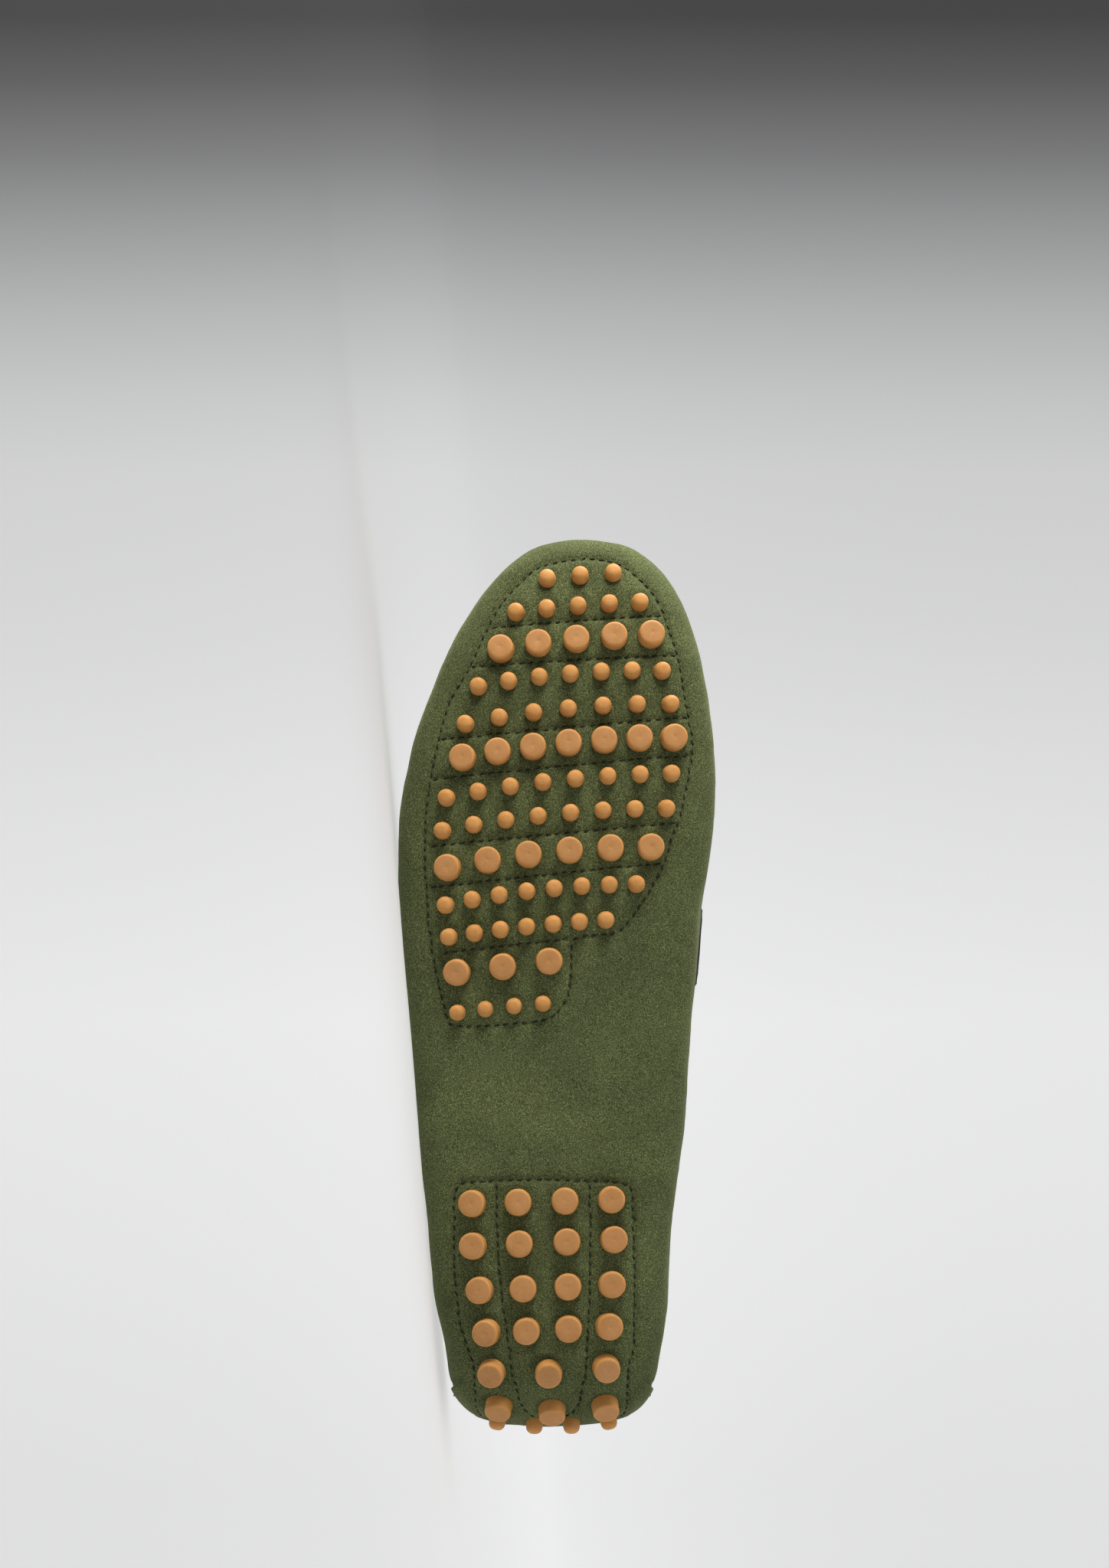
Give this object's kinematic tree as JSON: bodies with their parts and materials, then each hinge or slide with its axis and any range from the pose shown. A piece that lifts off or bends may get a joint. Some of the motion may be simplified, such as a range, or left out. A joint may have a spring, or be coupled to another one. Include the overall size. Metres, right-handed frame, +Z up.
{
  "type": "driving moccasin",
  "caption": "Soft suede driving moccasin with a studded rubber sole, a raised apron seam and a leather saddle strap.",
  "frame": {"origin": "on the floor, under the middle of the shoe's bounding box, with the shoe lying on its outer side", "axes": "-X towards the toe, -Y out of the sole, +Z up, out of the inner side of the shoe"},
  "size_m": [0.287, 0.0746, 0.1048],
  "materials": {
    "suede": "green suede nap",
    "gum_rubber": "satin gum rubber",
    "lining_leather": "smooth tan lining leather",
    "strap_leather": "smooth dark calf"
  },
  "bodies": {
    "root": {"upper": "suede", "forefoot_plate": "gum_rubber", "heel_plate": "gum_rubber", "insole": "lining_leather", "tongue": "suede", "saddle_strap": "strap_leather"}
  },
  "joints": []
}
